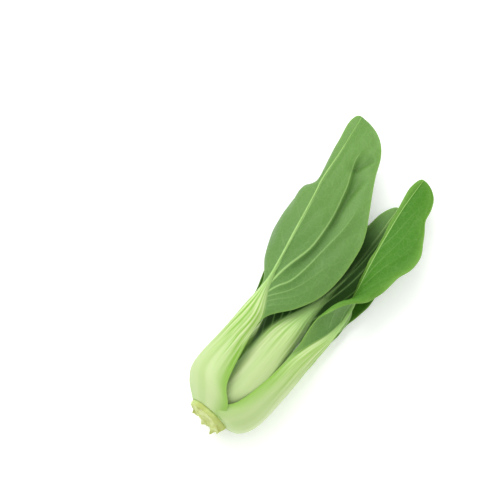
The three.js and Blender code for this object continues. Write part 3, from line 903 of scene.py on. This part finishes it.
RIGHT = Leaf(
    name="right",
    path=(
        (10.3, 2.8, 25), (16.6, 6, 25.5), (21.4, 17, 25.5), (22.8, 40, 26), (23, 65, 26),
        (24.4, 88, 25), (23.4, 104, 24), (19.2, 120, 23), (14.8, 138, 22), (10.5, 158, 20.5),
        (6.5, 182, 18.5), (4.2, 206, 15),
    ),
    faces=(188, 190, 194, 200, 208, 214, 210, 165, 118, 108, 100, 95),
    left=(5, 9.5, 13, 9, 6, 5.5, 6.5, 5, 2.2, 2, 3, 6),
    right=(14, 22, 18.5, 13.2, 11.2, 18.5, 21.5, 18.5, 22, 29, 19, 16),
    curl=(45, 42, 40, 35, 30, 25, 15, 0, -15, -20, -10, 0),
    curl_right=(70, 75, 46, 36, 33, 25, -20, -60, 0, 10, 0, -10),
    roll_right=(0, 0, 0, 0, 0, -80, -140, -60, 0, 0, 60, 60),
    rib=(12, 20, 18, 13.5, 8.6, 3.4, 1.9, 1.6, 1.4, 1.1, 0.8, 0.5),
    thick=(3, 4.6, 5, 5, 4.6, 4, 3, 2.4, 2, 1.7, 1.4, 1.1),
    blade_start=3.6,
    shade=0.0,
    veins=side_veins(
        Side.RIGHT,
        (((0.3, 92), (0.6, 104), (0.85, 114), (0.97, 120)), 0.9, 0.5),
        (((0.05, 98), (0.3, 115), (0.55, 130), (0.8, 146), (0.97, 157)), 0.9, 0.52, 0.6),
        (((0.05, 112), (0.28, 135), (0.5, 154), (0.75, 173), (0.95, 186)), 0.9, 0.52, 0.6),
        (((0.02, 130), (0.25, 156), (0.45, 175), (0.7, 191), (0.92, 201)), 0.9, 0.5),
        (((0.02, 156), (0.3, 180), (0.55, 196), (0.85, 207)), 0.8, 0.5),
    ),
    laid=(Side.LEFT,),
    # Painted light: a wide pale rim lightens the strip where the blade turns over, away from the light.
    rim_width=3.2,
    rows=280,
    columns=50,
    wave=0.4,
    pillow=0.8,
    seed=1.7,
)
LOWER_LEFT = Leaf(
    name="lower_left",
    path=(
        (-6.5, 7.6, 15.5), (-11.5, 12, 9.5), (-13.3, 22, 6.2), (-17.3, 44, 4.9),
        (-22.5, 66, 4.6), (-25, 84, 4.1), (-26.5, 104, 3.2), (-28, 126, 2.4), (-31, 150, 2.1),
        (-36, 176, 2.8),
    ),
    faces=(52, 50, 52, 62, 72, 80, 86, 90, 92, 92),
    left=(10, 14, 16.5, 11.5, 7, 7, 12, 15.5, 14.5, 10),
    right=(9, 15, 18, 13, 7, 7, 14, 19, 18, 12),
    curl=(55, 55, 55, 45, 35, 20, 0, -10, -8, -5),
    curl_right=(55, 55, 50, 45, 35, 20, 5, -8, -8, -5),
    rib=(9, 13.5, 16, 11, 6.5, 3.5, 2.4, 1.9, 1.5, 1),
    thick=(3, 4.2, 4.8, 4.6, 4.2, 3.4, 2.8, 2.3, 1.9, 1.4),
    rows=180,
    columns=36,
    seed=2.9,
)
MIDDLE = Leaf(
    name="middle",
    path=(
        (0.5, 10, 32.5), (3.5, 17, 35.2), (5.7, 27, 35.6), (6, 43, 35.3), (5, 60, 33.5),
        (5, 74, 30.5), (5.6, 86, 27.5), (7, 104, 23.5), (7.5, 126, 18.5), (6.5, 150, 15),
        (3.4, 182, 12),
    ),
    faces=(272, 268, 266, 268, 268, 268, 268, 268, 270, 270, 270),
    left=(8, 13, 15.5, 13.4, 10.8, 10.4, 10.6, 12, 13, 11, 7),
    right=(7.5, 10.5, 12.2, 13, 16, 20, 24, 29, 26, 12, 7),
    curl=(50, 58, 60, 58, 52, 60, 55, 45, 32, 15, 10),
    curl_right=(50, 46, 36, 30, 34, 36, 30, 15, 12, 12, 12),
    rib=(8, 12.5, 14, 13, 11.4, 10.6, 9, 4.6, 2.6, 1.6, 0.8),
    thick=(2.8, 4, 4.8, 4.8, 4.4, 4.2, 3.6, 2.8, 2.2, 1.8, 1.2),
    tip=22,
    blade_start=3.2,
    # Painted shade: the front and right leaves would shadow most of this leaf.
    shade=0.92,
    veins=side_veins(
        Side.LEFT,
        (((0.05, 76), (0.22, 96), (0.38, 118), (0.5, 142), (0.62, 164)), 0.9, 0.8),
        (((0.15, 66), (0.5, 84), (0.7, 104), (0.82, 126), (0.93, 148)), 0.9, 0.75),
        (((0.02, 98), (0.12, 122), (0.24, 148), (0.36, 168)), 0.8, 0.6),
        (((0.5, 68), (0.75, 84), (0.93, 104)), 0.8, 0.55),
    ) + side_veins(
        Side.RIGHT,
        (((0.4, 50), (0.6, 62), (0.8, 76), (0.95, 90)), 0.9, 0.75),
        (((0.35, 58), (0.5, 72), (0.66, 88), (0.85, 106)), 0.9, 0.7),
        (((0.3, 66), (0.4, 84), (0.55, 102), (0.75, 120)), 0.9, 0.65),
        (((0.6, 46), (0.8, 56), (0.95, 68)), 0.8, 0.6),
        (((0.05, 84), (0.2, 106), (0.38, 128), (0.6, 150)), 0.8, 0.6),
    ),
    laid=(),
    rows=240,
    columns=50,
    wave=0.4,
    seed=4.1,
)
LOWER_RIGHT = Leaf(
    name="lower_right",
    path=(
        (6, 12, 18.5), (11.5, 19, 13.2), (14, 30, 9.2), (18, 50, 6.6), (21, 70, 5.6),
        (20.5, 86, 5.2), (18.5, 102, 5), (17.5, 122, 4.6), (16.5, 142, 4.6), (14, 164, 5.4),
    ),
    faces=(140, 142, 142, 135, 125, 112, 100, 95, 92, 90),
    left=(7, 11, 12.5, 10, 6.5, 7, 10, 11, 10, 7),
    right=(7, 11, 12.5, 9.5, 5.5, 5.5, 7.8, 11, 10.5, 8),
    curl=(50, 50, 48, 45, 35, 25, 10, 5, 5, 5),
    curl_right=(50, 50, 48, 45, 35, 25, 15, 15, 20, 20),
    rib=(7, 10.5, 12, 9.5, 6, 3.5, 2.4, 1.9, 1.5, 1),
    thick=(2.6, 4, 4.6, 4.4, 4, 3.3, 2.7, 2.2, 1.8, 1.3),
    rows=160,
    columns=30,
    seed=5.3,
)
BACK_LEFT = Leaf(
    name="back_left",
    path=(
        (-6.5, 14, 24.5), (-10, 21, 24.5), (-11.8, 32, 24), (-11, 50, 22), (-10, 68, 19.5),
        (-11, 84, 16.8), (-16, 102, 14), (-22, 122, 10.8), (-28, 146, 9),
    ),
    faces=(358, 355, 350, 336, 312, 292, 280, 275, 272),
    left=(5.4, 6, 6.8, 7, 6, 7, 13, 15, 9),
    right=(6, 9.5, 10.5, 8, 6, 7, 13, 13.5, 8),
    curl=(50, 55, 52, 45, 40, 30, 15, 10, 10),
    curl_right=(50, 50, 48, 45, 40, 30, 15, 10, 10),
    rib=(6, 9, 10, 7.6, 5.4, 3.2, 2.2, 1.7, 1),
    thick=(2.4, 3.6, 4.2, 4, 3.6, 3, 2.4, 1.9, 1.3),
    columns=30,
    seed=0.9,
)
UPPER_RIGHT = Leaf(
    name="upper_right",
    path=(
        (4.5, 16, 28), (7, 23, 29.8), (7.5, 34, 29.2), (5, 52, 26.5), (1.5, 68, 23.5),
        (1.5, 84, 21), (4, 102, 17.8), (6.5, 122, 13.8), (8, 146, 11),
    ),
    faces=(222, 222, 225, 235, 255, 265, 270, 272, 272),
    left=(5, 8, 8.5, 7, 5.5, 6.5, 11, 13, 8),
    right=(5, 8, 8.5, 7, 5.5, 6.5, 12, 13, 8),
    curl=(50, 50, 48, 45, 40, 30, 15, 10, 10),
    rib=(5, 7.6, 8.4, 6.6, 5, 3.1, 2.2, 1.7, 1),
    thick=(2.3, 3.4, 4, 3.8, 3.4, 2.8, 2.3, 1.8, 1.2),
    seed=3.5,
)
UNDERNEATH = Leaf(
    name="underneath",
    path=(
        (-0.6, 18, 18.5), (-1, 26, 16), (-1, 38, 14.5), (0.5, 55, 12.5), (2, 72, 11),
        (2, 88, 10.2), (1, 106, 9.4), (-1, 126, 7.6), (-3, 148, 7),
    ),
    faces=(82, 82, 84, 86, 88, 90, 92, 92, 92),
    left=(4.5, 7, 8, 6.4, 5, 6.5, 11, 12, 8),
    right=(4.5, 7, 8, 6.4, 5, 6.5, 10, 10, 7),
    curl=(50, 50, 48, 45, 40, 30, 10, 0, 0),
    rib=(4.5, 6.7, 7.6, 6, 4.6, 3, 2.1, 1.6, 1),
    thick=(2.2, 3.2, 3.8, 3.6, 3.2, 2.7, 2.2, 1.7, 1.2),
    tip=18,
    seed=2.2,
)
HEART_LARGE = Leaf(
    name="heart_large",
    path=(
        (-1.9, 20.5, 26.7), (-2.6, 30, 27.2), (-2.6, 42, 26.2), (-2.2, 52, 23.2),
        (-2, 62, 19.6), (-2, 73, 18),
    ),
    faces=(305, 303, 300, 292, 282, 278),
    left=(3.5, 4.6, 4.6, 4.6, 5, 4),
    curl=(50, 50, 45, 35, 30, 25),
    rib=(3.5, 4.2, 3.6, 2.6, 1.7, 1),
    thick=(1.8, 2.4, 2.6, 2.2, 1.8, 1.2),
    tip=12,
    blade_start=2.2,
    pairs=4,
    rows=90,
    columns=20,
    wave=0.2,
    wave_length=14,
    pillow=0.3,
    seed=1.1,
)
HEART_SMALL = Leaf(
    name="heart_small",
    path=((2.2, 22.5, 23.6), (3, 30, 22.4), (2.9, 38, 21), (2, 46, 19.2), (1, 55, 17.4)),
    faces=(168, 165, 160, 150, 140),
    left=(2.6, 3.4, 3.6, 3.6, 2.6),
    right=(2.6, 3.2, 3.2, 3.2, 2.4),
    curl=(50, 50, 45, 35, 25),
    rib=(2.6, 3, 2.6, 1.7, 1),
    thick=(1.6, 2.2, 2.2, 1.8, 1.2),
    tip=10,
    blade_start=1.8,
    pairs=4,
    rows=80,
    columns=18,
    wave=0.15,
    wave_length=12,
    pillow=0.2,
    seed=0.2,
)
LEAVES = (
    FRONT, RIGHT, LOWER_LEFT, MIDDLE, LOWER_RIGHT, BACK_LEFT, UPPER_RIGHT, UNDERNEATH,
    HEART_LARGE, HEART_SMALL,
)


@dataclass(frozen=True)
class Lamp:
    """A square soft light: its place and target in metres, its side and its power in watts."""

    name: str
    spot: Triple
    target: Triple
    size: float
    power: float

    def hang(self) -> None:
        """Hangs the light so that it faces its target."""
        data = bpy.data.lights.new(self.name, "AREA")
        data.size = self.size
        data.energy = self.power
        lamp = add_object(self.name, data)
        away = Vector(self.spot) - Vector(self.target)
        lamp.location = self.spot
        lamp.rotation_euler = away.to_track_quat("Z", "Y").to_euler()


@dataclass(frozen=True)
class Studio:
    """Pale floor, soft light and the camera that looks down on the head."""

    azimuth: float = 40.0
    elevation: float = 72.0
    distance: float = 1200.0
    focal_pixels: float = 2000.0
    picture: float = 500.0
    # The point of the stem axis at the cut, and where it falls in the picture.
    seen: Pair = (206.0, 418.0)
    floor_tone: str = "fbfcfb"
    floor_glow: float = 0.18
    floor_size: float = 3.0
    # The floor lies this far below the head, in metres, so that nothing flickers.
    floor_gap: float = 0.0002
    surround: float = 0.92
    lamps: tuple[Lamp, ...] = (
        Lamp("key", (-0.9, 0.4, 1.35), (0, 0.02, 0), 1.3, 15.0),
        Lamp("fill", (0.2, -0.5, 1.7), (0, 0, 0), 1.4, 5.0),
    )

    def place_camera(self) -> Object:
        """Puts the camera where the cut end falls on its place in the picture."""
        tilt, turn = math.radians(90 - self.elevation), math.radians(self.azimuth)
        turned = Euler((tilt, 0, turn)).to_matrix()
        right, up, back = turned.col
        half = self.picture / 2
        aside = up * (self.seen[1] - half) - right * (self.seen[0] - half)
        spot = Vector((0, 0, AXIS_HEIGHT)) + back * self.distance
        spot += aside * (self.distance / self.focal_pixels)
        spot = (spot + Vector(HEAD_SHIFT)) * MILLIMETRE
        data = bpy.data.cameras.new("camera")
        data.sensor_width = 36.0
        data.lens = self.focal_pixels / self.picture * data.sensor_width
        data.clip_start = 0.05
        camera = add_object("camera", data)
        camera.matrix_world = Matrix.Translation(spot) @ turned.to_4x4()
        bpy.context.scene.camera = camera
        return camera

    def lay_floor(self) -> Object:
        """Lays a matt pale floor, lit a little from below, just under the head."""
        bm = bmesh.new()
        bmesh.ops.create_grid(bm, x_segments=1, y_segments=1, size=self.floor_size)
        bmesh.ops.translate(bm, vec=(0, 0, -self.floor_gap), verts=bm.verts[:])
        mesh = bpy.data.meshes.new("floor")
        bm.to_mesh(mesh)
        bm.free()
        material = bpy.data.materials.new("matt_paper")
        tree = empty_tree(material)
        inputs = {
            "Base Color": linear(self.floor_tone),
            "Roughness": 0.9,
            "Emission Color": linear(self.floor_tone),
            "Emission Strength": self.floor_glow,
        }
        paper = add_node(tree, "BsdfPrincipled", inputs).outputs[0]
        add_node(tree, "OutputMaterial", {"Surface": paper})
        mesh.materials.append(material)
        floor = add_object("floor", mesh)
        return floor

    def light(self) -> None:
        """Lights the head from the picture's upper left, with an even pale surround."""
        world = bpy.data.worlds.new("surround")
        bpy.context.scene.world = world
        tree = empty_tree(world)
        inputs = {"Color": linear("ffffff"), "Strength": self.surround}
        glow = add_node(tree, "Background", inputs).outputs[0]
        add_node(tree, "OutputWorld", {"Surface": glow})
        for lamp in self.lamps:
            lamp.hang()
        bpy.context.scene.view_settings.view_transform = "Standard"


def main() -> None:
    """Builds the studio, the stem and the leaves in order."""
    logging.basicConfig(level=logging.INFO, format="%(message)s")
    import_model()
    studio = Studio()
    studio.place_camera()
    studio.lay_floor()
    studio.light()
    stem = Stem().build(CutStemTissue("cut_stem_flesh").build())
    LOG.info("%s: %d faces", stem.name, len(stem.data.polygons))
    tissue = LeafTissue("waxy_leaf_tissue").build()
    for leaf in LEAVES:
        made = leaf.build(tissue)
        LOG.info("%s: %d faces", made.name, len(made.data.polygons))
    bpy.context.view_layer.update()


if __name__ == "__main__":
    main()
